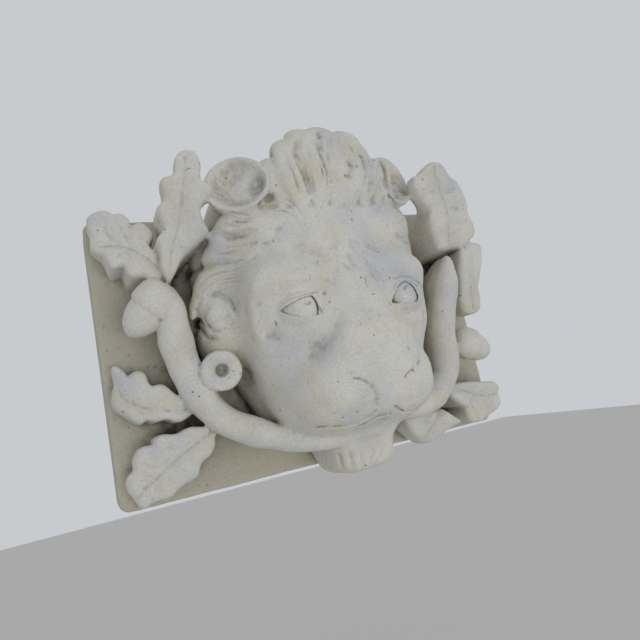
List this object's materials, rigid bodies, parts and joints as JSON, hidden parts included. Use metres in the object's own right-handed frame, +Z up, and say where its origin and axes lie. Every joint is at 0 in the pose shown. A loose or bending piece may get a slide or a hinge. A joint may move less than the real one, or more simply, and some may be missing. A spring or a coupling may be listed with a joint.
{
  "type": "lion head fountain mask",
  "caption": "Carved stone wall mask of a lion's head with an oak branch in its jaws, on a flat rectangular back plate.",
  "frame": {"origin": "middle of the back plate's flat back, which rests on the wall", "axes": "+Z up, +X to the right as the mask is seen from the front, and the lion looks along -Y"},
  "size_m": [0.6051, 0.2451, 0.4765],
  "materials": {
    "limestone": "weathered pale limestone with rasp marks, fine pits and dark dirt in the hollows"
  },
  "bodies": {
    "root": {"lion_mask": "limestone"}
  },
  "joints": []
}
